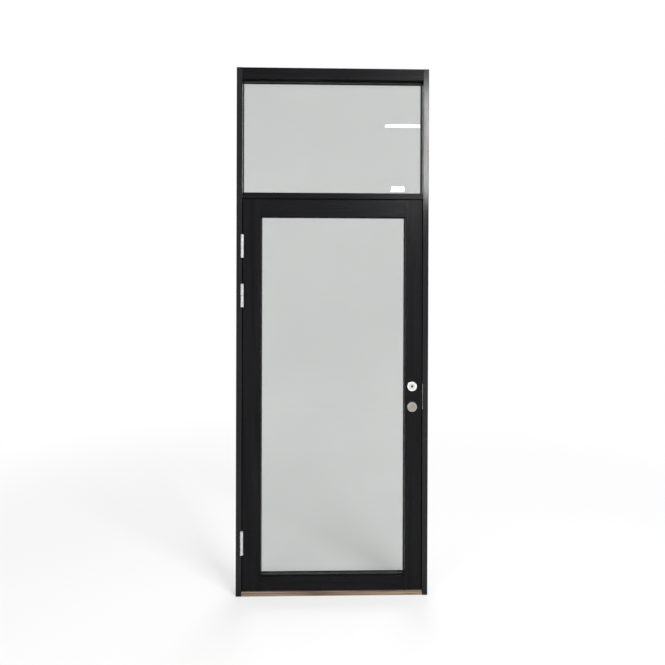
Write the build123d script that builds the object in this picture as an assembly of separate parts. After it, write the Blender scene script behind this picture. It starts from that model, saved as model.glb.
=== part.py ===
from build123d import *
from math import atan2, cos, degrees, radians, sin
import os

os.makedirs("parts", exist_ok=True)

# A glazed timber door in its frame, with a fixed top light. Millimetres.
# X runs from the hinge side to the lock side, Y from the opening side inwards, Z up from the sill's underside.

# Outer frame
frame_width = 980.0
frame_height = 2690.0
frame_depth = 92.0
jamb_face = 29.0
head_face = 58.0
transom_face = 30.0
top_light_height = 576.0
stop_width = 16.0
arris_radius = 1.5
stub_length = 18.0
stub_thickness = 20.0
stub_front = 14.0
stub_shoulder = 6.0

# Sill
sill_height = 24.0
sill_nose_drop = 2.0
sill_nose_length = 30.0
rail_start = 42.0
rail_thickness = 3.0
rail_upstand_thickness = 9.0
rail_back_margin = 4.0
drip_groove = 4.0
drip_setback = 8.0

# Leaf
leaf_thickness = 68.0
leaf_gap = 4.0
hinge_stile_width = 93.0
lock_stile_width = 85.0
top_rail_height = 88.0
bottom_rail_height = 72.0
tenon_length = 46.0
tenon_thickness = 12.0
tenon_front = 5.0
tenon_shoulder = 10.0
tenon_clearance = 0.2
mortise_end_clearance = 1.0

# Glazing
leaf_lip = 20.0
light_lip = 36.0
glass_cover = 11.0
glass_edge_gap = 4.0
front_gasket_thickness = 3.0
back_gasket_thickness = 2.0
gasket_show = 2.0
gasket_seat = 8.0
pane_thickness = 4.0
spacer_thickness = 16.0
spacer_width = 11.0
bead_land = 3.0
bead_fall = 6.0
block_length = 100.0
block_inset = 140.0

# Weather seal in the stop
seal_space = 4.0
seal_running_gap = 0.3
seal_width = 8.0
seal_corner = 1.6
seal_tongue = 2.6
seal_tongue_depth = 5.0
kerf_width = 3.0
kerf_depth = 5.5

# Hinges
hinge_axis_offset = 8.5
knuckle_radius = 7.5
knuckle_length = 58.0
hinge_cap_radius = 7.9
hinge_cap_height = 3.0
hinge_washer = 1.5
hinge_pin_radius = 4.0
hinge_pin_reach = 48.0
pin_fit = 0.05
hinge_plate_thickness = 3.0
hinge_plate_depth = 34.0
hinge_plate_corner = 4.0
hinge_top_drop = 239.0
hinge_pair_spacing = 250.0
hinge_bottom_rise = 248.0
hinge_cap_chamfer = 1.8
hinge_pin_end = 2.0
hinge_screw_pitch = 38.0
hinge_screw_setback = 20.0
hinge_screw_stagger = 6.0

# Countersunk screw holes in the fittings: radii at the face and at the back
screw_head_radius = 4.2
screw_shank_radius = 2.2

# Lock
handle_height = 1070.0
cylinder_drop = 105.0
backset = 50.0
case_thickness = 16.0
case_wall = 1.5
case_depth = 64.0
case_height = 186.0
case_clearance = 0.4
forend_thickness = 3.0
forend_width = 22.0
forend_height = 235.0
forend_corner = 9.9
forend_screw_end = 10.0
latch_height = 32.0
latch_thickness = 11.6
latch_length = 30.0
latch_bevel = 7.0
latch_bevel_width = 8.7
latch_throw = 12.0
latch_bar_height = 4.0
latch_bar_thickness = 5.0
latch_guide_gap = 0.3
hub_boss_radius = 9.0
hub_flange_radius = 11.5
hub_arm_width = 6.0
hub_fit = 0.05
hub_square = 8.0
hub_turn = 40.0
follower_gap = 0.6
finger_overlap = 3.6
bolt_height = 22.0
bolt_length = 36.0
bolt_throw = 18.0
bolt_thickness = 11.6
bolt_tail_height = 15.4
bolt_tail_wall = 2.2
cam_turn = 90.0
cam_hub_radius = 7.0
cam_arm_width = 3.0
notch_gap = 0.8

# Strike
strike_thickness = 2.0
strike_length = 184.0
strike_lip_length = 128.0
strike_lip_depth = 16.0
strike_lip_proud = 0.5
strike_depth = 50.0
strike_corner = 4.0
strike_screw_end = 12.0
strike_screw_edge = 14.0
strike_box_depth = 18.0
strike_box_wall = 1.2
strike_bolt_gap = 1.5

# Lock furniture
rosette_radius = 24.0
rosette_base = 3.0
rosette_rim_inner = 14.0
rosette_rim_height = 6.0
rosette_boss_radius = 12.0
rosette_boss_height = 7.5
rosette_bore_radius = 8.5
rosette_spindle_radius = 6.0
rosette_screw_circle = 18.5
rosette_lug_reach = 26.5
rosette_lug_radius = 4.5
rosette_lug_angle = 135.0
edge_break = 1.0
cylinder_ring_radius = 25.5
cylinder_ring_front = 23.5
cylinder_ring_height = 10.0
cylinder_ring_land = 3.0
cylinder_face_radius = 18.5
cylinder_face_setback = 1.5
cylinder_body_radius = 15.5
plug_radius = 8.0
plug_proud = 0.5
keyway_width = 2.2
keyway_height = 9.0
keyway_depth = 14.0
turn_rose_height = 8.0
turn_rose_chamfer = 2.5
turn_shaft_radius = 5.0
turn_knob_radius = 13.0
turn_knob_reach = 15.0
turn_knob_disc = 4.0
turn_knob_grip = 5.0
turn_knob_corner = 4.0
stile_bore_clearance = 0.5

# Fixing holes through the jambs, in the rebate that the closed leaf hides
fixing_radius = 7.0
fixing_setback = 52.0
fixing_heights = (140.0, 640.0, 1340.0, 1940.0)

# Places worked out from the sizes above
knuckle_reach = hinge_axis_offset + max(knuckle_radius, hinge_cap_radius)
front_y = -(frame_depth - knuckle_reach) / 2
back_y = front_y + frame_depth
half_width = frame_width / 2
rebate_x = half_width - jamb_face
stop_y = front_y + leaf_thickness + seal_space
leaf_back = front_y + leaf_thickness
leaf_overlap = stop_width - leaf_gap
head_bottom = frame_height - head_face
transom_top = head_bottom - top_light_height
transom_bottom = transom_top - transom_face
leaf_half = rebate_x - leaf_gap
leaf_bottom = sill_height + leaf_gap
leaf_top = transom_bottom - leaf_gap
rebate_depth = glass_cover + glass_edge_gap
unit_thickness = 2 * pane_thickness + spacer_thickness
hinge_x = -(rebate_x - leaf_gap / 2)
hinge_y = front_y - hinge_axis_offset
hinge_heights = {
    "top": leaf_top - hinge_top_drop,
    "middle": leaf_top - hinge_top_drop - hinge_pair_spacing,
    "bottom": leaf_bottom + hinge_bottom_rise,
}
lock_y = front_y + leaf_thickness / 2
lock_x = leaf_half - backset
cylinder_height = handle_height - cylinder_drop
lock_middle = handle_height - cylinder_drop / 2
case_front_y = lock_y - case_thickness / 2
case_back_y = lock_y + case_thickness / 2
case_x = leaf_half - forend_thickness - case_depth
forend_x = leaf_half - forend_thickness
strike_x = rebate_x + strike_thickness
bolt_z = cylinder_height + cam_hub_radius + notch_gap
cam_arm_radius = bolt_throw / (2 * sin(radians(cam_turn / 2)))
hub_arm_radius = latch_throw / (2 * sin(radians(hub_turn / 2)))

# Rectangles in the face of the door: left, right, bottom, top
leaf_rect = (-leaf_half, leaf_half, leaf_bottom, leaf_top)
leaf_sight = (
    hinge_stile_width - leaf_half,
    leaf_half - lock_stile_width,
    leaf_bottom + bottom_rail_height,
    leaf_top - top_rail_height,
)
light_sight = (-rebate_x, rebate_x, transom_top, head_bottom)

# Heights of the bars across the frame and of the leaf's rails, and the sizes of their tenons
bars = {"head": (head_bottom, frame_height), "transom": (transom_bottom, transom_top), "sill": (0, sill_height)}
rails = {"top": (leaf_sight[3], leaf_top), "bottom": (leaf_bottom, leaf_sight[2])}
frame_joint = (stub_length, stub_thickness, stub_front, stub_shoulder)
leaf_joint = (tenon_length, tenon_thickness, tenon_front, tenon_shoulder)


def grow(rect, by):
    return (rect[0] - by, rect[1] + by, rect[2] - by, rect[3] + by)


stop_rect = grow(leaf_rect, -leaf_overlap)
seal_line = grow(stop_rect, leaf_overlap / 2)


def block(x0, x1, y0, y1, z0, z1):
    centre = Pos((x0 + x1) / 2, (y0 + y1) / 2, (z0 + z1) / 2)
    return centre * Box(abs(x1 - x0), abs(y1 - y0), abs(z1 - z0))


def slab(rect, y0, y1):
    return block(rect[0], rect[1], y0, y1, rect[2], rect[3])


def ring(rect, inner, outer, y0, y1):
    # A flat frame from `inner` to `outer` millimetres outside the rectangle.
    return slab(grow(rect, outer), y0, y1) - slab(grow(rect, inner), y0 - 1, y1 + 1)


def rod_y(x, z, radius, y0, y1):
    return Pos(x, (y0 + y1) / 2, z) * Rot(90, 0, 0) * Cylinder(radius, y1 - y0)


def rod_x(y, z, radius, x0, x1):
    return Pos((x0 + x1) / 2, y, z) * Rot(0, 90, 0) * Cylinder(radius, abs(x1 - x0))


def rod_z(x, y, radius, z0, z1):
    return Pos(x, y, (z0 + z1) / 2) * Cylinder(radius, z1 - z0)


def along(shape, axis, *tests):
    # The edges parallel to an axis whose middle passes every test.
    found = shape.edges().filter_by(axis)
    return [edge for edge in found if all(test(edge.center()) for test in tests)]


def near(value, target):
    return abs(value - target) < 0.01


def export(name, *solids):
    shape = solids[0] if len(solids) == 1 else Compound(children=list(solids))
    export_step(shape, f"parts/{name}.step")


def seal_kerf():
    half = kerf_width / 2
    return ring(seal_line, -half, half, stop_y - 1, stop_y + kerf_depth)


def turned(*points):
    # A turned piece from its half section, as radius and height.
    return revolve(Plane.XZ * make_face(Polyline(*points, close=True)), Axis.Z)


def on_leaf(height, face_y, outward):
    # Where a round fitting sits: its own Z points out of the leaf, to the opening side with outward -1.
    return Pos(lock_x, face_y, height) * Rot(-90 * outward, 0, 0)


def tenon(joint, face_x, side, low, high, mortise=False):
    # The tenon on a bar's end, or the mortise that takes it.
    length, thickness, front, shoulder = joint
    spare = tenon_clearance if mortise else 0
    reach = length + (mortise_end_clearance if mortise else 0)
    y0 = front_y + front
    return block(
        face_x - (side if mortise else 0),
        face_x + side * reach,
        y0 - spare,
        y0 + thickness + spare,
        low + shoulder - spare,
        high - shoulder + spare,
    )


# Screw holes, as places whose own Z points out of the plate
def hinge_screw_places(side, height):
    # side -1 is the plate in the jamb, +1 the one on the leaf's edge
    face_x = -rebate_x if side < 0 else -leaf_half
    steps = {-1: -1, 0: 1, 1: -1}
    return [
        Pos(face_x, front_y + hinge_screw_setback + turn * hinge_screw_stagger, height + step * hinge_screw_pitch)
        * Rot(0, -90 * side, 0)
        for step, turn in steps.items()
    ]


def end_screw_places(face_x, turn, y, spread):
    return [Pos(face_x, y, lock_middle + side * spread) * Rot(0, turn, 0) for side in (-1, 1)]


def countersink(plate, places, thickness):
    slope = (screw_head_radius - screw_shank_radius) / thickness
    hole = Cone(screw_shank_radius - slope, screw_head_radius + slope, thickness + 2)
    for place in places:
        plate -= place * Pos(0, 0, -thickness / 2) * hole
    return plate


def fillet_long(shape, edges, radius):
    return fillet(edges, radius) if edges and radius > 0 else shape


def jamb(side):
    outer, rebate, stop = side * half_width, side * rebate_x, side * (rebate_x - stop_width)
    body = block(outer, stop, front_y, back_y, 0, frame_height)
    past = stop - side
    body -= block(rebate, past, front_y - 1, stop_y, -1, frame_height + 1)
    body -= block(rebate, past, front_y - 1, back_y + 1, transom_bottom - stop_width, frame_height + 1)
    body -= block(rebate, past, front_y - 1, back_y + 1, -1, stop_rect[2])
    body = fillet_long(body, along(body, Axis.Z, lambda c: near(c.Y, front_y)), arris_radius)
    body -= slab(grow(light_sight, rebate_depth), front_y + light_lip, back_y + 1)
    body -= seal_kerf()
    for low, high in bars.values():
        body -= tenon(frame_joint, rebate, side, low, high, mortise=True)
    for height in fixing_heights:
        body -= rod_x(front_y + fixing_setback, height, fixing_radius, rebate - side, outer + side)
    return body


def jamb_left():
    body = jamb(-1)
    for height in hinge_heights.values():
        body -= hinge_plate_blank(-1, height)
    return body


def jamb_right():
    return jamb(1) - strike_blank() - strike_pocket(0.0)


def with_stubs(body, bar):
    for side in (-1, 1):
        body += tenon(frame_joint, side * rebate_x, side, *bars[bar])
    return body


def cross_bar(bar):
    low, high = bars[bar]
    body = block(-rebate_x, rebate_x, front_y, back_y, low, high)
    edges = along(body, Axis.X, lambda c: near(c.Y, front_y))
    return with_stubs(fillet_long(body, edges, arris_radius), bar)


def head():
    return cross_bar("head") - slab(grow(light_sight, rebate_depth), front_y + light_lip, back_y + 1)


def transom():
    body = cross_bar("transom")
    body += block(-rebate_x, rebate_x, stop_y, back_y, transom_bottom - stop_width, transom_bottom)
    body -= slab(grow(light_sight, rebate_depth), front_y + light_lip, back_y + 1)
    return body - seal_kerf()


def bar_from_profile(points):
    # A bar between the jambs whose section in Y and Z is given.
    face = make_face(Polyline(*[(-rebate_x, y, z) for y, z in points], close=True))
    return extrude(face, amount=2 * rebate_x, dir=(1, 0, 0))


def sill_timber():
    upstand_back = stop_y + rail_upstand_thickness
    rail_y = front_y + rail_start
    bed = sill_height - rail_thickness
    body = bar_from_profile(
        [
            (front_y, 0),
            (back_y, 0),
            (back_y, stop_rect[2] - rail_thickness),
            (upstand_back, stop_rect[2] - rail_thickness),
            (upstand_back, bed),
            (rail_y, bed),
            (rail_y, sill_height),
            (front_y + sill_nose_length, sill_height),
            (front_y, sill_height - sill_nose_drop),
        ]
    )
    nose = along(body, Axis.X, lambda c: near(c.Y, front_y))
    body = fillet_long(body, nose, arris_radius)
    groove_y = front_y + drip_setback
    body -= block(-rebate_x - 1, rebate_x + 1, groove_y, groove_y + drip_groove, -1, drip_groove)
    return with_stubs(body, "sill")


def sill_rail():
    rail_y = front_y + rail_start
    bed, top = sill_height - rail_thickness, stop_rect[2]
    upstand_back = stop_y + rail_upstand_thickness
    body = bar_from_profile(
        [
            (rail_y, bed),
            (upstand_back, bed),
            (upstand_back, top - rail_thickness),
            (back_y - rail_back_margin, top - rail_thickness),
            (back_y - rail_back_margin, top),
            (stop_y, top),
            (stop_y, sill_height),
            (rail_y, sill_height),
        ]
    )
    corner = along(body, Axis.X, lambda c: near(c.Y, stop_y) and near(c.Z, top))
    body = fillet_long(body, corner, arris_radius)
    return body - seal_kerf()


def door_seal():
    half, front = seal_width / 2, front_y + leaf_thickness + seal_running_gap
    bulb = ring(seal_line, -half, half, front, stop_y)
    edges = [e for e in bulb.edges() if near(e.center().Y, front)]
    bulb = fillet(edges, seal_corner)
    tongue = seal_tongue / 2
    return bulb + ring(seal_line, -tongue, tongue, stop_y, stop_y + seal_tongue_depth)


# Glazing: the same parts for the leaf and for the top light
def bead(rect, side, y0, y1):
    # A bar mitred at both ends.
    outer, inner = grow(rect, rebate_depth), rect
    corners = {
        "top": [(outer[0], outer[3]), (outer[1], outer[3]), (inner[1], inner[3]), (inner[0], inner[3])],
        "bottom": [(outer[0], outer[2]), (outer[1], outer[2]), (inner[1], inner[2]), (inner[0], inner[2])],
        "left": [(outer[0], outer[2]), (outer[0], outer[3]), (inner[0], inner[3]), (inner[0], inner[2])],
        "right": [(outer[1], outer[2]), (outer[1], outer[3]), (inner[1], inner[3]), (inner[1], inner[2])],
    }[side]
    face = make_face(Polyline(*[(x, y0, z) for x, z in corners], close=True))
    return extrude(face, amount=y1 - y0, dir=(0, 1, 0))


def bead_splay(rect, y0, y1):
    # The opening inside the beads: straight next to the glass, then wider towards the back.
    left, right, low, high = rect
    start = y0 + bead_land
    corners = [(left, low), (right, low), (right, high), (left, high)]
    face = make_face(Polyline(*[(x, start, z) for x, z in corners], close=True))
    slope = degrees(atan2(bead_fall, y1 - start))
    return extrude(face, amount=y1 - start + 1, dir=(0, 1, 0), taper=-slope)


def setting_blocks(rect, y0):
    # Two blocks in each edge gap, as wide as the glass unit.
    unit, bed = grow(rect, glass_cover), grow(rect, rebate_depth)
    y1 = y0 + unit_thickness
    blocks = []
    for near_end in (True, False):
        x = unit[0] + block_inset if near_end else unit[1] - block_inset
        z = unit[2] + block_inset if near_end else unit[3] - block_inset
        half = block_length / 2
        blocks.append(block(x - half, x + half, y0, y1, bed[2], unit[2]))
        blocks.append(block(x - half, x + half, y0, y1, unit[3], bed[3]))
        blocks.append(block(bed[0], unit[0], y0, y1, z - half, z + half))
        blocks.append(block(unit[1], bed[1], y0, y1, z - half, z + half))
    return blocks


def glaze(name, rect, lip, back):
    glass_y = front_y + lip + front_gasket_thickness
    inner_y = glass_y + unit_thickness
    bead_y = inner_y + back_gasket_thickness
    unit = grow(rect, glass_cover)
    export(f"{name}_gasket_front", ring(rect, -gasket_show, gasket_seat, front_y + lip, glass_y))
    export(f"{name}_pane_front", slab(unit, glass_y, glass_y + pane_thickness))
    export(
        f"{name}_spacer",
        ring(unit, -spacer_width, 0, glass_y + pane_thickness, inner_y - pane_thickness),
    )
    export(f"{name}_pane_back", slab(unit, inner_y - pane_thickness, inner_y))
    export(f"{name}_blocks", *setting_blocks(rect, glass_y))
    export(f"{name}_gasket_back", ring(rect, -gasket_show, gasket_seat, inner_y, bead_y))
    splay = bead_splay(rect, bead_y, back)
    for side in ("top", "bottom", "left", "right"):
        export(f"{name}_bead_{side}", bead(rect, side, bead_y, back) - splay)


# Leaf timbers
def leaf_rebate():
    return slab(grow(leaf_sight, rebate_depth), front_y + leaf_lip, leaf_back + 1)


def stile(side):
    inner, outer = leaf_sight[0 if side < 0 else 1], side * leaf_half
    body = block(inner, outer, front_y, leaf_back, leaf_bottom, leaf_top)
    body = fillet_long(body, along(body, Axis.Z), arris_radius)
    body -= leaf_rebate()
    for low, high in rails.values():
        body -= tenon(leaf_joint, inner, side, low, high, mortise=True)
    return body


def rail(which):
    low, high = rails[which]
    left, right = leaf_sight[:2]
    body = block(left, right, front_y, leaf_back, low, high)
    body = fillet_long(body, along(body, Axis.X), arris_radius)
    body -= leaf_rebate()
    for side, face_x in ((-1, left), (1, right)):
        body += tenon(leaf_joint, face_x, side, low, high)
    if which == "bottom":
        groove_y = front_y + drip_setback
        body -= block(left, right, groove_y, groove_y + drip_groove, low - 1, low + drip_groove)
    return body


def stile_hinge():
    body = stile(-1)
    for height in hinge_heights.values():
        body -= hinge_plate_blank(1, height)
    return body


def stile_lock():
    body = stile(1) - forend_blank() - case_blank()
    front, back = front_y - 1, leaf_back + 1
    spare = stile_bore_clearance
    body -= rod_y(lock_x, handle_height, rosette_bore_radius + spare, front, back)
    body -= rod_y(lock_x, cylinder_height, cylinder_body_radius + spare, front, case_front_y)
    return body - rod_y(lock_x, cylinder_height, turn_shaft_radius + spare, case_back_y, back)


# Lift-off hinges
def hinge_plate_blank(side, height):
    # The plate let into the jamb's rebate (side -1) or the leaf's edge (side 1), flush with it.
    surface = -rebate_x if side < 0 else -leaf_half
    x0, x1 = surface, surface + side * hinge_plate_thickness
    reach = knuckle_length + hinge_washer / 2
    plate = block(x0, x1, front_y, front_y + hinge_plate_depth, height - reach, height + reach)
    back_edges = along(plate, Axis.X, lambda c: near(c.Y, front_y + hinge_plate_depth))
    return fillet(back_edges, hinge_plate_corner)


def knuckle(height, side, neck_side):
    # side -1 is the lower knuckle and carries the pin, side 1 the upper one; each has a small cap at its end.
    near_z = height + side * hinge_washer / 2
    far_z = near_z + side * knuckle_length
    body = rod_z(hinge_x, hinge_y, knuckle_radius, min(near_z, far_z), max(near_z, far_z))
    low, high = sorted((far_z, far_z - side * hinge_cap_height))
    cap = rod_z(hinge_x, hinge_y, hinge_cap_radius, low, high)
    rim = cap.edges().filter_by(GeomType.CIRCLE).sort_by(Axis.Z)[-1 if side > 0 else 0]
    body += chamfer(rim, hinge_cap_chamfer)
    surface = -rebate_x if neck_side < 0 else -leaf_half
    inward = surface + neck_side * hinge_plate_thickness
    body += block(surface, inward, hinge_y, front_y, min(near_z, far_z), max(near_z, far_z))
    return body


def pin_bore(height, side):
    near_z = height + side * hinge_washer / 2
    far_z = height + side * hinge_pin_reach
    low, high = sorted((near_z - side, far_z))
    return rod_z(hinge_x, hinge_y, hinge_pin_radius + pin_fit, low, high)


def hinge_half(side, height):
    # side -1 is the frame's half, +1 the leaf's
    body = hinge_plate_blank(side, height) + knuckle(height, side, side) - pin_bore(height, side)
    return countersink(body, hinge_screw_places(side, height), hinge_plate_thickness)


def hinge_pin(height):
    top = height + hinge_pin_reach - hinge_pin_end
    pin = rod_z(hinge_x, hinge_y, hinge_pin_radius, height - hinge_pin_reach, top)
    return chamfer(pin.edges().filter_by(GeomType.CIRCLE).sort_by(Axis.Z)[-1], edge_break)


def hinge_washer_ring(height):
    low, high = height - hinge_washer / 2, height + hinge_washer / 2
    bore = rod_z(hinge_x, hinge_y, hinge_pin_radius + pin_fit, low - 1, high + 1)
    return rod_z(hinge_x, hinge_y, knuckle_radius, low, high) - bore


# Lock case and what moves in it
def plate_x(x0, x1, y, width, z, height, radius):
    # A plate across X with rounded ends.
    body = block(x0, x1, y - width / 2, y + width / 2, z - height / 2, z + height / 2)
    return fillet(body.edges().filter_by(Axis.X), radius)


def forend_blank():
    return plate_x(forend_x, leaf_half, lock_y, forend_width, lock_middle, forend_height, forend_corner)


def case_blank():
    spare = case_clearance
    return block(
        case_x - spare,
        forend_x,
        case_front_y,
        case_back_y,
        lock_middle - case_height / 2 - spare,
        lock_middle + case_height / 2 + spare,
    )


def latch_window(gap, x0, x1):
    half_y, half_z = latch_thickness / 2 + gap, latch_height / 2 + gap
    return block(x0, x1, lock_y - half_y, lock_y + half_y, handle_height - half_z, handle_height + half_z)


def bolt_window(gap, x0, x1):
    half_y = bolt_thickness / 2 + gap
    return block(x0, x1, lock_y - half_y, lock_y + half_y, bolt_z - gap, bolt_z + bolt_height + gap)


def lock_forend():
    body = forend_blank()
    for window in (latch_window, bolt_window):
        body -= window(latch_guide_gap, forend_x - 1, leaf_half + 1)
    places = end_screw_places(leaf_half, 90, lock_y, forend_height / 2 - forend_screw_end)
    return countersink(body, places, forend_thickness)


def lock_case():
    low, high = lock_middle - case_height / 2, lock_middle + case_height / 2
    wall = case_wall
    body = block(case_x, forend_x, case_front_y + wall, case_back_y, low, high)
    inner = block(case_x + wall, forend_x - wall, case_front_y, case_back_y - wall, low + wall, high - wall)
    body -= inner
    for window in (latch_window, bolt_window):
        body -= window(latch_guide_gap, forend_x - 2 * wall, forend_x + 1)
    body -= rod_y(lock_x, handle_height, hub_boss_radius + hub_fit, lock_y, case_back_y + 1)
    body -= rod_y(lock_x, cylinder_height, turn_shaft_radius + hub_fit, lock_y, case_back_y + 1)
    return body


def lock_cover():
    low, high = lock_middle - case_height / 2, lock_middle + case_height / 2
    body = block(case_x, forend_x, case_front_y, case_front_y + case_wall, low, high)
    body -= rod_y(lock_x, handle_height, hub_boss_radius + hub_fit, case_front_y - 1, lock_y)
    return body


def arm(centre_z, y0, y1, radius, width, tilt):
    # A lever that points up from its hub to a round tip, leaned towards the lock's edge by the tilt.
    bar = block(-width / 2, width / 2, y0, y1, 0, radius)
    bar += rod_y(0, radius, width / 2, y0, y1)
    return Pos(lock_x, 0, centre_z) * Rot(0, tilt, 0) * bar


def handle_hub():
    # The arm leans back while it holds the latch in, and turns towards the edge to throw it.
    wall = case_wall + latch_guide_gap
    y0, y1 = case_front_y + wall, case_back_y - wall
    body = rod_y(lock_x, handle_height, hub_boss_radius, case_front_y + hub_fit, case_back_y - hub_fit)
    body += rod_y(lock_x, handle_height, hub_flange_radius, y0, y1)
    body += arm(handle_height, y0, y1, hub_arm_radius, hub_arm_width, -hub_turn / 2)
    half = hub_square / 2
    return body - block(
        lock_x - half, lock_x + half, case_front_y - 1, case_back_y + 1, handle_height - half, handle_height + half
    )


def latch_bolt():
    # The bevelled head, a bar over the follower and a finger behind its arm.
    nose = leaf_half
    root = nose - latch_length
    body = latch_window(0, root, nose)
    bevel = along(body, Axis.Z, lambda c: c.X > root + 1 and c.Y > lock_y)
    body = chamfer(bevel, latch_bevel, latch_bevel_width)
    low = handle_height + hub_arm_radius + hub_arm_width / 2 + follower_gap
    bar_y = latch_bar_thickness / 2
    tilt = radians(hub_turn / 2)
    finger_x = lock_x - hub_arm_radius * sin(tilt) - hub_arm_width / 2 - follower_gap
    back = finger_x - latch_bar_height
    front = root + latch_bar_height
    body += block(back, front, lock_y - bar_y, lock_y + bar_y, low, low + latch_bar_height)
    riser = front - latch_bar_height
    body += block(riser, front, lock_y - bar_y, lock_y + bar_y, handle_height, low + latch_bar_height)
    drop = hub_arm_radius * (1 - cos(tilt)) + finger_overlap
    body += block(back, finger_x, lock_y - bar_y, lock_y + bar_y, low - drop, low + 1)
    return body


def bolt_cam():
    wall = case_wall + latch_guide_gap
    y0, y1 = case_front_y + wall, case_back_y - wall
    body = rod_y(lock_x, cylinder_height, cam_hub_radius, y0, y1)
    body += arm(cylinder_height, y0 + 1, y1 - 1, cam_arm_radius, cam_arm_width, -cam_turn / 2)
    return body - rod_y(lock_x, cylinder_height, turn_shaft_radius, y0 - 1, y1 + 1)


def deadbolt():
    # The block slides over the cam; its talon notch takes the arm's tip.
    body = bolt_window(0, leaf_half - bolt_length, leaf_half)
    edges = along(body, Axis.Y, lambda c: c.X > leaf_half - 1)
    body = fillet(edges, arris_radius)
    lean = radians(cam_turn / 2)
    tip_x = lock_x - cam_arm_radius * sin(lean)
    drift = cam_arm_radius * cos(lean) - cam_hub_radius - notch_gap
    half = cam_arm_width / 2 / cos(lean) + drift + notch_gap
    tail = block(
        tip_x - half - bolt_tail_wall,
        leaf_half - bolt_length + 1,
        lock_y - bolt_thickness / 2,
        lock_y + bolt_thickness / 2,
        bolt_z,
        bolt_z + bolt_tail_height,
    )
    top = cylinder_height + cam_arm_radius + cam_arm_width + notch_gap
    notch = block(tip_x - half, tip_x + half, lock_y - bolt_thickness, lock_y + bolt_thickness, bolt_z - 1, top)
    return body + tail - notch


def thumb_turn():
    knob_back = leaf_back + turn_rose_height + latch_guide_gap
    y_in = case_front_y + case_wall + latch_guide_gap
    shaft = rod_y(lock_x, cylinder_height, turn_shaft_radius, y_in, knob_back + 1)
    disc = rod_y(lock_x, cylinder_height, turn_knob_radius, knob_back, knob_back + turn_knob_disc)
    grip = block(
        lock_x - turn_knob_grip / 2,
        lock_x + turn_knob_grip / 2,
        knob_back + turn_knob_disc - 1,
        knob_back + turn_knob_reach,
        cylinder_height - turn_knob_radius,
        cylinder_height + turn_knob_radius,
    )
    corners = along(grip, Axis.X, lambda c: c.Y > knob_back + turn_knob_disc)
    return shaft + disc + fillet(corners, turn_knob_corner)


# Lock furniture on the two faces of the leaf
def rosette(face_y, outward, lug=False):
    # A cast rose: a broad rim with two screws, a groove, and a collar with the spindle's hole in its floor.
    rim, boss = rosette_rim_height, rosette_boss_height
    body = turned(
        (rosette_spindle_radius, 0),
        (rosette_radius, 0),
        (rosette_radius, rim - edge_break),
        (rosette_radius - edge_break, rim),
        (rosette_rim_inner, rim),
        (rosette_rim_inner, rosette_base),
        (rosette_boss_radius, rosette_base),
        (rosette_boss_radius, boss - edge_break),
        (rosette_boss_radius - edge_break, boss),
        (rosette_bore_radius, boss),
        (rosette_bore_radius, rosette_base),
        (rosette_spindle_radius, rosette_base),
    )
    if lug:
        reach = rosette_lug_reach - rosette_lug_radius
        body += Rot(0, 0, rosette_lug_angle) * Pos(reach, 0, rim / 2) * Cylinder(rosette_lug_radius, rim)
    places = [Pos(0, 0, rim) * spot for spot in PolarLocations(rosette_screw_circle, 2, rosette_lug_angle - 90)]
    return on_leaf(handle_height, face_y, outward) * countersink(body, places, rim)


def cylinder_ring():
    # The bevelled security ring round the cylinder's face.
    top = cylinder_ring_height
    body = turned(
        (cylinder_face_radius, 0),
        (cylinder_ring_radius, 0),
        (cylinder_ring_radius, cylinder_ring_land),
        (cylinder_ring_front, top - edge_break),
        (cylinder_ring_front - edge_break, top),
        (cylinder_face_radius, top),
    )
    return on_leaf(cylinder_height, front_y, -1) * body


def lock_cylinder():
    face_y = front_y - cylinder_ring_height + cylinder_face_setback
    body = rod_y(lock_x, cylinder_height, cylinder_body_radius, front_y, case_front_y)
    body += rod_y(lock_x, cylinder_height, cylinder_face_radius - pin_fit, face_y, front_y)
    return body - rod_y(lock_x, cylinder_height, plug_radius + pin_fit, face_y - 1, case_front_y - case_wall)


def cylinder_plug():
    face_y = front_y - cylinder_ring_height + cylinder_face_setback
    body = rod_y(lock_x, cylinder_height, plug_radius, face_y - plug_proud, case_front_y - case_wall)
    slot = block(
        lock_x - keyway_width / 2,
        lock_x + keyway_width / 2,
        face_y - 1,
        face_y + keyway_depth,
        cylinder_height - keyway_height / 2,
        cylinder_height + keyway_height / 2,
    )
    return body - slot


def thumb_turn_rose():
    bore, top, slope = turn_shaft_radius + latch_guide_gap, turn_rose_height, turn_rose_chamfer
    body = turned(
        (bore, 0),
        (rosette_radius, 0),
        (rosette_radius, top - slope),
        (rosette_radius - slope, top),
        (bore, top),
    )
    return on_leaf(cylinder_height, leaf_back, 1) * body


# Strike in the lock jamb
def strike_blank():
    low, high = lock_middle - strike_length / 2, lock_middle + strike_length / 2
    y_lip = front_y + strike_lip_depth
    plate = block(rebate_x, strike_x, y_lip, front_y + strike_depth, low, high)
    plate = fillet(along(plate, Axis.X), strike_corner)
    half, root = strike_lip_length / 2, y_lip + 2 * strike_corner
    front = front_y - strike_lip_proud
    return plate + block(rebate_x, strike_x, front, root, lock_middle - half, lock_middle + half)


def strike_pocket(inset):
    # The mortise behind the plate; with an inset it is the hollow of the box that lines it.
    low = bolt_z - 2 * strike_bolt_gap
    high = handle_height + latch_height / 2 + 2 * strike_bolt_gap
    half_y = bolt_thickness / 2 + 2 * strike_bolt_gap
    return block(
        strike_x - (1 if inset else 0),
        strike_x + strike_box_depth - inset,
        lock_y - half_y + inset,
        lock_y + half_y - inset,
        low + inset,
        high - inset,
    )


def strike_plate():
    body = strike_blank()
    for window in (latch_window, bolt_window):
        body -= window(strike_bolt_gap, rebate_x - 1, strike_x + 1)
    y = front_y + strike_depth - strike_screw_edge
    places = end_screw_places(rebate_x, -90, y, strike_length / 2 - strike_screw_end)
    return countersink(body, places, strike_thickness)


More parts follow.
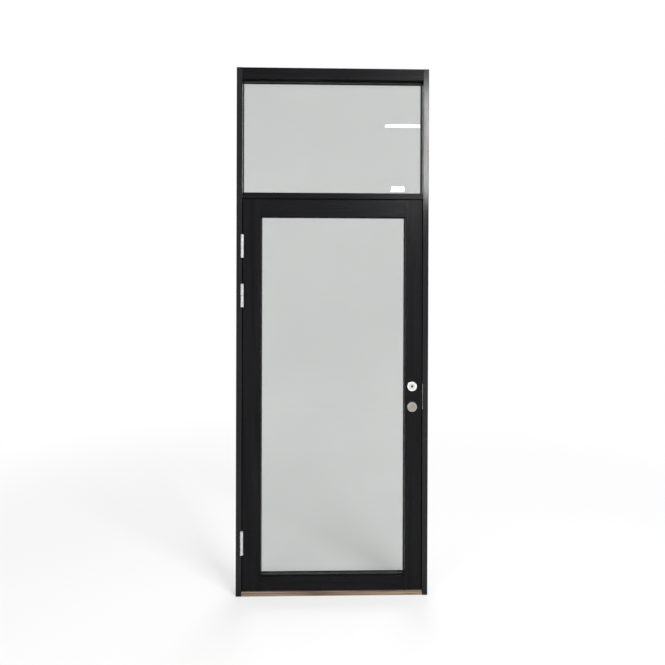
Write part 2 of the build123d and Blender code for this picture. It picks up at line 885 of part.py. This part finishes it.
def strike_box():
    return strike_pocket(0.0) - strike_pocket(strike_box_wall)


# Frame
export("jamb_left", jamb_left())
export("jamb_right", jamb_right())
export("head", head())
export("transom", transom())
export("sill_timber", sill_timber())
export("sill_rail", sill_rail())
export("door_seal", door_seal())
glaze("toplight", light_sight, light_lip, back_y)

# Hinges
for name, height in hinge_heights.items():
    export(f"hinge_{name}_frame_half", hinge_half(-1, height))
    export(f"hinge_{name}_leaf_half", hinge_half(1, height))
export("hinge_pins", *[hinge_pin(height) for height in hinge_heights.values()])
export("hinge_washers", *[hinge_washer_ring(height) for height in hinge_heights.values()])

# Strike
export("strike_plate", strike_plate())
export("strike_box", strike_box())

# Leaf
export("stile_hinge", stile_hinge())
export("stile_lock", stile_lock())
export("rail_top", rail("top"))
export("rail_bottom", rail("bottom"))
glaze("leaf", leaf_sight, leaf_lip, leaf_back)

# Lock
export("lock_forend", lock_forend())
export("lock_case", lock_case())
export("lock_cover", lock_cover())
export("handle_hub", handle_hub())
export("latch_bolt", latch_bolt())
export("deadbolt", deadbolt())
export("bolt_cam", bolt_cam())
export("thumb_turn", thumb_turn())
export("rosette_front", rosette(front_y, -1, lug=True))
export("rosette_back", rosette(leaf_back, 1))
export("cylinder_ring", cylinder_ring())
export("lock_cylinder", lock_cylinder())
export("cylinder_plug", cylinder_plug())
export("thumb_turn_rose", thumb_turn_rose())
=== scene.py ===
import bpy
import math
from mathutils import Matrix, Vector


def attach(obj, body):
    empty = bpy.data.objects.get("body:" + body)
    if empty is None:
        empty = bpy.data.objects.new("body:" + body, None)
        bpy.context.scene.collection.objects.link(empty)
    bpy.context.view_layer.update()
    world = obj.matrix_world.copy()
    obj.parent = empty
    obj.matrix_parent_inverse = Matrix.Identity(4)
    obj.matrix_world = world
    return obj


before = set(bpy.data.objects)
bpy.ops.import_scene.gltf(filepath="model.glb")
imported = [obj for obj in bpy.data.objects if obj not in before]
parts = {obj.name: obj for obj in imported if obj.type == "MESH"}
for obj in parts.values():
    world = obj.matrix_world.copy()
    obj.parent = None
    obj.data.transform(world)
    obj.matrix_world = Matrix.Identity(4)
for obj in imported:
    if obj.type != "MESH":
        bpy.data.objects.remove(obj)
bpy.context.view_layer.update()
scene = bpy.context.scene
bpy.ops.object.select_all(action="DESELECT")
print("frame loaded:", len(parts), "nodes")


def addNode(tree, kind, values=None, operation=None):
    node = tree.nodes.new("ShaderNode" + kind)
    if operation:
        node.operation = operation
    for socket, value in (values or {}).items():
        node.inputs[socket].default_value = value
    return node


def addRange(tree, source, target):
    return addNode(tree, "MapRange", {
        "From Min": source[0], "From Max": source[1], "To Min": target[0], "To Max": target[1],
    })


def connect(tree, pairs):
    for start, end in pairs:
        tree.links.new(start, end)


# What all finishes share: how fine their noise is, and which part of its range is used
grain = {
    "colourDetail": 6.0, "colourStops": (0.32, 0.68),
    "roughDetail": 5.0, "roughRange": (0.3, 0.7),
    "bumpDetail": 6.0,
}
# Between these two values of its weight a face turns from its own roughness to the dull one
dullRanges = {"level": (0.5, 0.9), "outer": (0.3, 0.4)}


def dullFaces(tree, place, rough, which, dullRoughness):
    normals = addNode(tree, "SeparateXYZ")
    tree.links.new(place.outputs["Normal"], normals.inputs["Vector"])
    if which == "level":  # the faces that look up or down
        weight = addNode(tree, "Math", operation="ABSOLUTE")
        tree.links.new(normals.outputs["Z"], weight.inputs[0])
    else:  # the faces that look away from the door's middle, against the wall
        weight = addNode(tree, "Math", operation="MULTIPLY")
        position = addNode(tree, "SeparateXYZ")
        connect(tree, (
            (place.outputs["Object"], position.inputs["Vector"]),
            (normals.outputs["X"], weight.inputs[0]),
            (position.outputs["X"], weight.inputs[1]),
        ))
    dull = addRange(tree, dullRanges[which], (0.0, dullRoughness))
    rougher = addNode(tree, "Math", operation="MAXIMUM")
    connect(tree, (
        (weight.outputs["Value"], dull.inputs["Value"]),
        (dull.outputs["Result"], rougher.inputs[0]),
        (rough, rougher.inputs[1]),
    ))
    return rougher.outputs["Value"]


def makeFinish(name, look):
    # colour, roughness and bump all come from noise stretched along the piece, in Object coordinates
    material = bpy.data.materials.new(name)
    material.use_nodes = True
    tree = material.node_tree
    shader = tree.nodes["Principled BSDF"]
    place = addNode(tree, "TexCoord")

    def pattern(stretch, detail, twist=0.0):
        mapping = addNode(tree, "Mapping", {"Scale": stretch})
        noise = addNode(tree, "TexNoise", {"Scale": 1.0, "Detail": detail, "Distortion": twist})
        tree.links.new(place.outputs["Object"], mapping.inputs["Vector"])
        tree.links.new(mapping.outputs["Vector"], noise.inputs["Vector"])
        return noise.outputs["Fac"]

    ramp = addNode(tree, "ValToRGB")
    for stop, colour, at in zip(ramp.color_ramp.elements, look["colours"], grain["colourStops"]):
        stop.color = (*colour, 1.0)
        stop.position = at
    colourNoise = pattern(look["colourStretch"], grain["colourDetail"], look.get("twist", 0.0))
    tree.links.new(colourNoise, ramp.inputs["Fac"])
    tree.links.new(ramp.outputs["Color"], shader.inputs["Base Color"])

    spread = addRange(tree, grain["roughRange"], look["roughness"])
    tree.links.new(pattern(look["roughStretch"], grain["roughDetail"]), spread.inputs["Value"])
    rough = spread.outputs["Result"]
    if look.get("dullFaces"):
        rough = dullFaces(tree, place, rough, look["dullFaces"], look["dullRoughness"])
    tree.links.new(rough, shader.inputs["Roughness"])

    normal = None
    for stretch, depth in look["bumps"]:
        bump = addNode(tree, "Bump", {"Strength": 1.0, "Distance": depth})
        tree.links.new(pattern(stretch, grain["bumpDetail"]), bump.inputs["Height"])
        if normal:
            tree.links.new(normal, bump.inputs["Normal"])
        normal = bump.outputs["Normal"]
    tree.links.new(normal, shader.inputs["Normal"])

    shader.inputs["Metallic"].default_value = look.get("metallic", 0.0)
    shader.inputs["Specular IOR Level"].default_value = look.get("specular", 0.5)
    shader.inputs["Sheen Weight"].default_value = look.get("sheen", 0.0)
    return material


def dress(material, *names):
    for name in names:
        mesh = parts[name].data
        mesh.materials.clear()
        mesh.materials.append(material)


# Satin black paint on planed timber: the brush and the grain run along each board, and the jambs
# are sprayed smoother. Each stretch is given along and across the board.
blackPaint = {
    "colours": ((0.0040, 0.0040, 0.0047), (0.0078, 0.0077, 0.0088)),
    "colourStretch": (2.0, 40.0),
    "roughness": {"jamb": (0.12, 0.19), "board": (0.24, 0.36)},
    "roughStretch": (3.0, 30.0),
    "brushStretch": (5.0, 260.0), "brushDepth": 0.00008,
    "speckleStretch": (420.0, 420.0), "speckleDepth": 0.00002,
    "specular": {"jamb": 0.66, "board": 0.22},
    "dullFaces": {"level": "level", "jamb": "outer"},
    "dullRoughness": 0.92,
}
boards = {
    "jamb": ("jamb_left", "jamb_right"),
    "upright": (
        "stile_hinge", "stile_lock", "toplight_bead_left", "toplight_bead_right",
        "leaf_bead_left", "leaf_bead_right",
    ),
    "level": (
        "head", "transom", "rail_top", "rail_bottom", "toplight_bead_top",
        "toplight_bead_bottom", "leaf_bead_top", "leaf_bead_bottom",
    ),
}


def lengthwise(run, stretch):
    along, across = stretch
    return (along, across, across) if run == "level" else (across, across, along)


for run, names in boards.items():
    kind = "jamb" if run == "jamb" else "board"
    look = {
        "colours": blackPaint["colours"],
        "colourStretch": lengthwise(run, blackPaint["colourStretch"]),
        "roughness": blackPaint["roughness"][kind],
        "roughStretch": lengthwise(run, blackPaint["roughStretch"]),
        "bumps": [
            (lengthwise(run, blackPaint["brushStretch"]), blackPaint["brushDepth"]),
            (lengthwise(run, blackPaint["speckleStretch"]), blackPaint["speckleDepth"]),
        ],
        "specular": blackPaint["specular"][kind],
        "dullFaces": blackPaint["dullFaces"].get(run),
        "dullRoughness": blackPaint["dullRoughness"],
    }
    dress(makeFinish("blackPaint_" + run, look), *names)

sillTimber = {
    "colours": ((0.105, 0.070, 0.048), (0.300, 0.225, 0.165)),
    "colourStretch": (4.0, 140.0, 140.0),
    "twist": 0.6,
    "roughness": (0.42, 0.62),
    "roughStretch": (6.0, 90.0, 90.0),
    "bumps": [((8.0, 420.0, 420.0), 0.00025), ((60.0, 60.0, 60.0), 0.00008)],
}
dress(makeFinish("sillTimber", sillTimber), "sill_timber")

sillAluminium = {
    "colours": ((0.50, 0.51, 0.52), (0.66, 0.66, 0.67)),
    "colourStretch": (3.0, 60.0, 60.0),
    "roughness": (0.28, 0.42),
    "roughStretch": (5.0, 200.0, 200.0),
    "bumps": [((3.0, 900.0, 900.0), 0.00004)],
    "metallic": 1.0,
}
dress(makeFinish("sillAluminium", sillAluminium), "sill_rail")

sealRubber = {
    "colours": ((0.012, 0.012, 0.012), (0.030, 0.030, 0.031)),
    "colourStretch": (30.0, 30.0, 30.0),
    "roughness": (0.55, 0.75),
    "roughStretch": (80.0, 80.0, 80.0),
    "bumps": [((700.0, 700.0, 700.0), 0.00008)],
    "sheen": 0.15,
}
dress(makeFinish("sealRubber", sealRubber), "door_seal", "toplight_gasket_front",
      "toplight_gasket_back", "leaf_gasket_front", "leaf_gasket_back")

spacerBlack = {
    "colours": ((0.016, 0.017, 0.018), (0.050, 0.052, 0.054)),
    "colourStretch": (160.0, 160.0, 160.0),
    "roughness": (0.40, 0.60),
    "roughStretch": (120.0, 120.0, 120.0),
    "bumps": [((240.0, 900.0, 240.0), 0.0002)],
}
dress(makeFinish("spacerBlack", spacerBlack), "toplight_spacer", "leaf_spacer")

blockPlastic = {
    "colours": ((0.060, 0.160, 0.290), (0.085, 0.205, 0.350)),
    "colourStretch": (50.0, 50.0, 50.0),
    "roughness": (0.45, 0.60),
    "roughStretch": (200.0, 200.0, 200.0),
    "bumps": [((400.0, 400.0, 400.0), 0.0001)],
}
dress(makeFinish("blockPlastic", blockPlastic), "toplight_blocks", "leaf_blocks")

boxPlastic = {
    "colours": ((0.014, 0.014, 0.014), (0.026, 0.026, 0.027)),
    "colourStretch": (60.0, 60.0, 60.0),
    "roughness": (0.50, 0.66),
    "roughStretch": (150.0, 150.0, 150.0),
    "bumps": [((600.0, 600.0, 600.0), 0.0001)],
}
dress(makeFinish("boxPlastic", boxPlastic), "strike_box")

zincSteel = {
    "colours": ((0.66, 0.68, 0.71), (0.86, 0.86, 0.85)),
    "colourStretch": (90.0, 90.0, 40.0),
    "roughness": (0.22, 0.38),
    "roughStretch": (160.0, 160.0, 60.0),
    "bumps": [((900.0, 900.0, 900.0), 0.00003)],
    "metallic": 0.5,
}
zinc = makeFinish("zincSteel", zincSteel)
hingeNames = [
    f"hinge_{at}_{half}_half" for at in ("top", "middle", "bottom") for half in ("frame", "leaf")
]
dress(zinc, "hinge_pins", *hingeNames)

# The strike plate is the same steel, made darker and rougher
dullZinc = dict(
    zincSteel,
    colours=((0.20, 0.20, 0.205), (0.36, 0.36, 0.365)),
    roughness=(0.32, 0.48),
)
dress(makeFinish("dullZinc", dullZinc), "strike_plate")

washerBrass = {
    "colours": ((0.62, 0.44, 0.20), (0.78, 0.60, 0.32)),
    "colourStretch": (200.0, 200.0, 200.0),
    "roughness": (0.28, 0.42),
    "roughStretch": (300.0, 300.0, 300.0),
    "bumps": [((900.0, 900.0, 900.0), 0.00003)],
    "metallic": 1.0,
}
dress(makeFinish("washerBrass", washerBrass), "hinge_washers")

lockSteel = {
    "colours": ((0.42, 0.43, 0.44), (0.62, 0.62, 0.63)),
    "colourStretch": (140.0, 140.0, 12.0),
    "roughness": (0.26, 0.42),
    "roughStretch": (500.0, 500.0, 12.0),
    "bumps": [((1400.0, 1400.0, 20.0), 0.00003)],
    "metallic": 1.0,
}
dress(makeFinish("lockSteel", lockSteel), "lock_case", "lock_cover", "lock_forend", "latch_bolt",
      "deadbolt", "handle_hub", "bolt_cam")

satinNickel = {
    "colours": ((0.46, 0.445, 0.425), (0.61, 0.595, 0.575)),
    "colourStretch": (120.0, 120.0, 120.0),
    "roughness": (0.24, 0.36),
    "roughStretch": (60.0, 60.0, 900.0),
    "bumps": [((90.0, 90.0, 1600.0), 0.00002)],
    "metallic": 0.55,
}
dress(makeFinish("satinNickel", satinNickel), "cylinder_ring", "thumb_turn", "thumb_turn_rose")

# The cylinder's face is duller than its ring
cylinderFace = {
    "colours": ((0.31, 0.275, 0.24), (0.41, 0.37, 0.325)),
    "colourStretch": (160.0, 160.0, 160.0),
    "roughness": (0.34, 0.50),
    "roughStretch": (90.0, 90.0, 700.0),
    "bumps": [((110.0, 110.0, 1500.0), 0.00003)],
    "metallic": 0.4,
}
dress(makeFinish("cylinderFace", cylinderFace), "lock_cylinder", "cylinder_plug")

roseZinc = {
    "colours": ((0.57, 0.56, 0.545), (0.75, 0.74, 0.72)),
    "colourStretch": (220.0, 220.0, 220.0),
    "roughness": (0.30, 0.46),
    "roughStretch": (260.0, 260.0, 260.0),
    "bumps": [((1100.0, 1100.0, 1100.0), 0.00006)],
    "metallic": 0.1,
}
dress(makeFinish("roseZinc", roseZinc), "rosette_front", "rosette_back")
print("paint, timber, rubber and metal finishes assigned")

# Clear float glass with a grey-green body, a faint roller wave and fine smears
glass = {
    "ior": 1.46,
    "tint": (0.772, 0.781, 0.775), "tintLevels": (0.985, 1.015), "tintStops": (0.35, 0.65),
    "cloud": {"Scale": 1.1, "Detail": 2.0},
    "smear": {"Scale": 9.0, "Detail": 8.0, "Distortion": 1.2},
    "smearRange": (0.55, 0.75), "smearRoughness": (0.0, 0.035),
    "wave": {"Scale": 2.4}, "waveDepth": 0.00006,
}
glassMaterial = bpy.data.materials.new("clearGlass")
glassMaterial.use_nodes = True
tree = glassMaterial.node_tree
shader = tree.nodes["Principled BSDF"]
shader.inputs["Transmission Weight"].default_value = 1.0
shader.inputs["IOR"].default_value = glass["ior"]
place = addNode(tree, "TexCoord")
cloud = addNode(tree, "TexNoise", glass["cloud"])
shade = addNode(tree, "ValToRGB")
for stop, level, at in zip(shade.color_ramp.elements, glass["tintLevels"], glass["tintStops"]):
    stop.color = (*[channel * level for channel in glass["tint"]], 1.0)
    stop.position = at
smear = addNode(tree, "TexNoise", glass["smear"])
smearRange = addRange(tree, glass["smearRange"], glass["smearRoughness"])
wave = addNode(tree, "TexNoise", glass["wave"])
waveBump = addNode(tree, "Bump", {"Strength": 1.0, "Distance": glass["waveDepth"]})
connect(tree, (
    (place.outputs["Object"], cloud.inputs["Vector"]),
    (place.outputs["Object"], smear.inputs["Vector"]),
    (place.outputs["Object"], wave.inputs["Vector"]),
    (cloud.outputs["Fac"], shade.inputs["Fac"]),
    (shade.outputs["Color"], shader.inputs["Base Color"]),
    (smear.outputs["Fac"], smearRange.inputs["Value"]),
    (smearRange.outputs["Result"], shader.inputs["Roughness"]),
    (wave.outputs["Fac"], waveBump.inputs["Height"]),
    (waveBump.outputs["Normal"], shader.inputs["Normal"]),
))
paneNames = [f"{unit}_pane_{side}" for unit in ("toplight", "leaf") for side in ("front", "back")]
dress(glassMaterial, *paneNames)
for name in paneNames:
    parts[name].visible_shadow = False  # clear glass lets the studio light through
print("glass ready")


# Screws: each kind is modelled once, then copied into its holes
woodScrew = {
    "sides": 28, "head": 0.00415, "shank": 0.0021, "smoothAngle": 35,
    "threads": 7, "pitch": 0.0022, "swell": 1.22, "tip": 0.1,
    "recess": 0.0024, "recessDepth": 0.0014, "recessWidth": 0.42, "recessBottom": 0.45,
}
looksDown = -0.9  # a face whose normal has a lower Z than this is an underside


def selectUnderside(piece):
    bpy.ops.mesh.select_mode(type="FACE")
    bpy.ops.mesh.select_all(action="DESELECT")
    bpy.ops.object.mode_set(mode="OBJECT")
    for face in piece.data.polygons:
        face.select = face.normal.z < looksDown
    bpy.ops.object.mode_set(mode="EDIT")


def scaleRing(share):
    bpy.ops.transform.resize(value=(share, share, 1.0))


def lowerRing(depth):
    bpy.ops.mesh.extrude_region_move(TRANSFORM_OT_translate={"value": (0, 0, -depth)})


def carveRecess(body, screw):
    # a cross that narrows towards its bottom
    bpy.ops.object.select_all(action="DESELECT")
    for turn in (0, 90):
        bpy.ops.mesh.primitive_cube_add(size=1.0, location=(0, 0, 0))
        cutter = bpy.context.object
        width = screw["recess"] * screw["recessWidth"]
        cutter.scale = (screw["recess"] * 2, width, screw["recessDepth"] * 2)
        cutter.rotation_euler.z = math.radians(turn)
        bpy.ops.object.transform_apply(location=True, rotation=True, scale=True)
        bpy.ops.object.mode_set(mode="EDIT")
        selectUnderside(cutter)
        scaleRing(screw["recessBottom"])
        bpy.ops.object.mode_set(mode="OBJECT")
        bpy.context.view_layer.objects.active = body
        carve = body.modifiers.new("recess", "BOOLEAN")
        carve.object = cutter
        carve.solver = "EXACT"
        bpy.ops.object.modifier_apply(modifier=carve.name)
        bpy.data.objects.remove(cutter, do_unlink=True)


def countersunkScrew(screw, coneDepth):
    bpy.ops.object.select_all(action="DESELECT")
    bpy.ops.mesh.primitive_cylinder_add(
        vertices=screw["sides"], radius=screw["head"], depth=coneDepth,
        location=(0, 0, -coneDepth / 2),
    )
    body = bpy.context.object
    bpy.ops.object.transform_apply(location=True)
    bpy.ops.object.mode_set(mode="EDIT")
    selectUnderside(body)
    scaleRing(screw["shank"] / screw["head"])
    for thread in range(screw["threads"]):  # a ring that swells and closes again
        lowerRing(screw["pitch"] / 2)
        scaleRing(screw["swell"])
        lowerRing(screw["pitch"] / 2)
        scaleRing(1 / screw["swell"])
    lowerRing(screw["pitch"])
    scaleRing(screw["tip"])
    bpy.ops.object.mode_set(mode="OBJECT")
    carveRecess(body, screw)
    return body


def facing(x, y, z, towards, turn):
    # a place whose Z axis points out of the plate, turned about itself so that no two recesses line up
    outwards = Vector(towards).to_track_quat("Z", "Y").to_matrix().to_4x4()
    return Matrix.Translation((x, y, z)) @ outwards @ Matrix.Rotation(math.radians(turn), 4, "Z")


def spreadCopies(master, name, places, body, material):
    bpy.ops.object.select_all(action="DESELECT")
    copies = []
    for at in places:
        copy = bpy.data.objects.new(name, master.data.copy())
        copy.data.transform(at)
        scene.collection.objects.link(copy)
        copy.select_set(True)
        copies.append(copy)
    bpy.context.view_layer.objects.active = copies[0]
    bpy.ops.object.join()
    piece = bpy.context.view_layer.objects.active
    piece.name = name
    bpy.ops.object.shade_smooth_by_angle(angle=math.radians(woodScrew["smoothAngle"]))
    piece.data.materials.clear()
    piece.data.materials.append(material)
    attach(piece, body)


# The turns are degrees by hinge and by hole
hinges = {
    "heights": (1.783, 1.533, 0.276),
    "plateY": -0.0178, "stagger": 0.006, "pitch": 0.038,
    "jambFace": -0.461, "jambTurns": (23, 31),
    "leafFace": -0.457, "leafTurns": (47, 19),
}
hingeJambPlaces, hingeLeafPlaces = [], []
for count, height in enumerate(hinges["heights"]):
    for step in (-1, 0, 1):
        y = hinges["plateY"] + (hinges["stagger"] if step == 0 else -hinges["stagger"])
        z = height + step * hinges["pitch"]
        for face, turns, towards, places in (
            (hinges["jambFace"], hinges["jambTurns"], (1, 0, 0), hingeJambPlaces),
            (hinges["leafFace"], hinges["leafTurns"], (-1, 0, 0), hingeLeafPlaces),
        ):
            places.append(facing(face, y, z, towards, turns[0] * count + turns[1] * step))

lock = {
    "middle": 1.0175,
    "strikeFace": 0.461, "strikeY": -0.0018, "strikeSpread": 0.080, "strikeTurn": 15,
    "leafFace": 0.457, "forendY": -0.0038, "forendSpread": 0.1075, "forendTurn": 40,
}
strikePlaces, forendPlaces = [], []
for side in (-1, 1):
    strikeZ = lock["middle"] + side * lock["strikeSpread"]
    strikeTurn = lock["strikeTurn"] * side
    strikePlaces.append(facing(lock["strikeFace"], lock["strikeY"], strikeZ, (-1, 0, 0), strikeTurn))
    forendZ = lock["middle"] + side * lock["forendSpread"]
    forendTurn = lock["forendTurn"] * side
    forendPlaces.append(facing(lock["leafFace"], lock["forendY"], forendZ, (1, 0, 0), forendTurn))

# Two screws on one diagonal of the front rose, and on the other diagonal at the back
roses = {
    "x": 0.407, "z": 1.070, "circle": 0.0185, "diagonal": 45,
    "frontY": -0.0438, "frontTurn": 20,
    "backY": 0.0362, "backTurn": 65,
}
reach = roses["circle"] * math.cos(math.radians(roses["diagonal"]))
rosePlaces = []
for side in (-1, 1):
    x = roses["x"] + side * reach
    frontZ, backZ = roses["z"] + side * reach, roses["z"] - side * reach
    rosePlaces.append(facing(x, roses["frontY"], frontZ, (0, -1, 0), roses["frontTurn"]))
    rosePlaces.append(facing(x, roses["backY"], backZ, (0, 1, 0), roses["backTurn"]))

# The cone of each head is as deep as the plate it sits in
for name, coneDepth, places, body in (
    ("hinge_frame_screws", 0.0029, hingeJambPlaces, "frame"),
    ("hinge_leaf_screws", 0.0029, hingeLeafPlaces, "leaf"),
    ("strike_screws", 0.0019, strikePlaces, "frame"),
    ("forend_screws", 0.0029, forendPlaces, "leaf"),
    ("rose_screws", 0.0058, rosePlaces, "leaf"),
):
    master = countersunkScrew(woodScrew, coneDepth)
    spreadCopies(master, name, places, body, zinc)
    bpy.data.objects.remove(master, do_unlink=True)
print("screws seated")


white = (1.0, 1.0, 1.0, 1.0)

# The floor is lit near the door and fades to white. Reflections show it grey, at one level before
# the door and at a lower one behind it.
floor = {
    "radius": 14.0, "sides": 96, "drop": 0.0005, "colour": (0.86, 0.86, 0.86),
    "clearRadius": 1.4, "fadeRadius": 4.0, "leastWhite": 0.45,
    "mirrored": (0.38, 0.05), "mirroredEdge": 0.3,
}
bpy.ops.object.select_all(action="DESELECT")
bpy.ops.mesh.primitive_circle_add(
    vertices=floor["sides"], radius=floor["radius"], fill_type="NGON",
    location=(0, 0, -floor["drop"]),
)
floorDisc = bpy.context.object
floorDisc.name = "floor"
floorMaterial = bpy.data.materials.new("paleFloor")
floorMaterial.use_nodes = True
tree = floorMaterial.node_tree
tree.nodes.clear()
output = addNode(tree, "OutputMaterial")
lit = addNode(tree, "BsdfDiffuse", {"Color": (*floor["colour"], 1.0)})
whiteFloor = addNode(tree, "Emission", {"Color": white})
mirroredFloor = addNode(tree, "Emission", {"Color": white})
mix = addNode(tree, "MixShader")
mirrorMix = addNode(tree, "MixShader")
place = addNode(tree, "TexCoord")
axes = addNode(tree, "SeparateXYZ")
mirroredLevel = addRange(tree, (-floor["mirroredEdge"], floor["mirroredEdge"]), floor["mirrored"])
length = addNode(tree, "VectorMath", operation="LENGTH")
fade = addRange(tree, (floor["clearRadius"], floor["fadeRadius"]), (floor["leastWhite"], 1.0))
fade.interpolation_type = "SMOOTHSTEP"
path = addNode(tree, "LightPath")
seen = addNode(tree, "Math", operation="MAXIMUM")
share = addNode(tree, "Math", operation="MULTIPLY")
onlyMirrored = addNode(tree, "Math", operation="GREATER_THAN")
connect(tree, (
    (place.outputs["Object"], length.inputs[0]),
    (place.outputs["Object"], axes.inputs["Vector"]),
    (axes.outputs["Y"], mirroredLevel.inputs["Value"]),
    (mirroredLevel.outputs["Result"], mirroredFloor.inputs["Strength"]),
    (length.outputs["Value"], fade.inputs["Value"]),
    (path.outputs["Is Camera Ray"], seen.inputs[0]),
    (path.outputs["Is Transmission Ray"], seen.inputs[1]),
    (seen.outputs["Value"], share.inputs[0]),
    (fade.outputs["Result"], share.inputs[1]),
    (path.outputs["Is Glossy Ray"], onlyMirrored.inputs[0]),
    (path.outputs["Is Transmission Ray"], onlyMirrored.inputs[1]),
    (share.outputs["Value"], mix.inputs["Fac"]),
    (lit.outputs["BSDF"], mix.inputs[1]),
    (whiteFloor.outputs["Emission"], mix.inputs[2]),
    (onlyMirrored.outputs["Value"], mirrorMix.inputs["Fac"]),
    (mix.outputs["Shader"], mirrorMix.inputs[1]),
    (mirroredFloor.outputs["Emission"], mirrorMix.inputs[2]),
    (mirrorMix.outputs["Shader"], output.inputs["Surface"]),
))
floorDisc.data.materials.append(floorMaterial)

# How bright the world is as a light, seen or through glass, and mirrored
sky = {"light": 0.55, "seen": 1.0, "glossy": 0.34}
world = scene.world or bpy.data.worlds.new("studio")
scene.world = world
world.use_nodes = True
tree = world.node_tree
tree.nodes.clear()
output = addNode(tree, "OutputWorld")
background = addNode(tree, "Background", {"Color": white})
path = addNode(tree, "LightPath")
seen = addNode(tree, "Math", operation="MAXIMUM")
mirrored = addRange(tree, (0.0, 1.0), (sky["light"], sky["glossy"]))
pick = addNode(tree, "Mix", {"B": sky["seen"]})
connect(tree, (
    (path.outputs["Is Camera Ray"], seen.inputs[0]),
    (path.outputs["Is Transmission Ray"], seen.inputs[1]),
    (path.outputs["Is Glossy Ray"], mirrored.inputs["Value"]),
    (mirrored.outputs["Result"], pick.inputs["A"]),
    (seen.outputs["Value"], pick.inputs["Factor"]),
    (pick.outputs["Result"], background.inputs["Strength"]),
    (background.outputs["Background"], output.inputs["Surface"]),
))

# Broad lamps light the door but don't show in its glass, narrow strips give the sheen
lamps = {
    "key": {"at": (2.28, -3.4, 3.00), "size": (1.9, 2.3), "watts": 180, "mirrored": False},
    "fill": {"at": (-3.2, -3.6, 2.4), "size": (2.4, 2.4), "watts": 60, "mirrored": False},
    "jambStrip": {
        "at": (1.33, -3.4, 3.25), "size": (0.25, 1.3), "watts": 14, "aim": (1.33, 0, 3.25),
    },
    "back": {"at": (0.8, 4.2, 3.6), "size": (3.0, 2.0), "watts": 90, "mirrored": False},
    "upperStrip": {
        "at": (1.50, -6.0, 4.22), "size": (0.66, 0.06), "watts": 3, "aim": (1.50, 0, 4.22),
    },
    "lowerStrip": {
        "at": (1.38, -6.0, 3.17), "size": (0.22, 0.09), "watts": 5, "aim": (1.38, 0, 3.17),
    },
}
doorMiddle = (0, 0, 1.35)
for name, lamp in lamps.items():
    at = Vector(lamp["at"])
    aim = Vector(lamp.get("aim", doorMiddle))
    bpy.ops.object.light_add(type="AREA", location=at)
    light = bpy.context.object
    light.name = name
    light.data.shape = "RECTANGLE"
    light.data.size, light.data.size_y = lamp["size"]
    light.data.energy = lamp["watts"]
    light.rotation_euler = (aim - at).to_track_quat("-Z", "Y").to_euler()
    light.visible_camera = False
    light.visible_transmission = False
    light.visible_glossy = lamp.get("mirrored", True)

camera = {
    "at": (-0.1338, -2.7130, 1.5936),
    "yaw": 1.245, "pitch": -0.219, "roll": 0.167,
    "sensor": 36.0, "lens": 28.45, "shift": (0.0220, -0.0704),
}
yaw, pitch, roll = (math.radians(camera[turn]) for turn in ("yaw", "pitch", "roll"))
forward = Vector((
    math.sin(yaw) * math.cos(pitch), math.cos(yaw) * math.cos(pitch), math.sin(pitch),
))
level = Vector((math.cos(yaw), -math.sin(yaw), 0))
upright = level.cross(forward)
right = math.cos(roll) * level + math.sin(roll) * upright
up = math.cos(roll) * upright - math.sin(roll) * level
turned = Matrix((right, up, -forward)).transposed().to_4x4()
bpy.ops.object.camera_add()
cameraObject = bpy.context.object
cameraObject.matrix_world = Matrix.Translation(camera["at"]) @ turned
cameraObject.data.sensor_width = camera["sensor"]
cameraObject.data.lens = camera["lens"]
cameraObject.data.shift_x, cameraObject.data.shift_y = camera["shift"]
scene.camera = cameraObject
scene.view_settings.view_transform = "Standard"
print("studio and camera set")
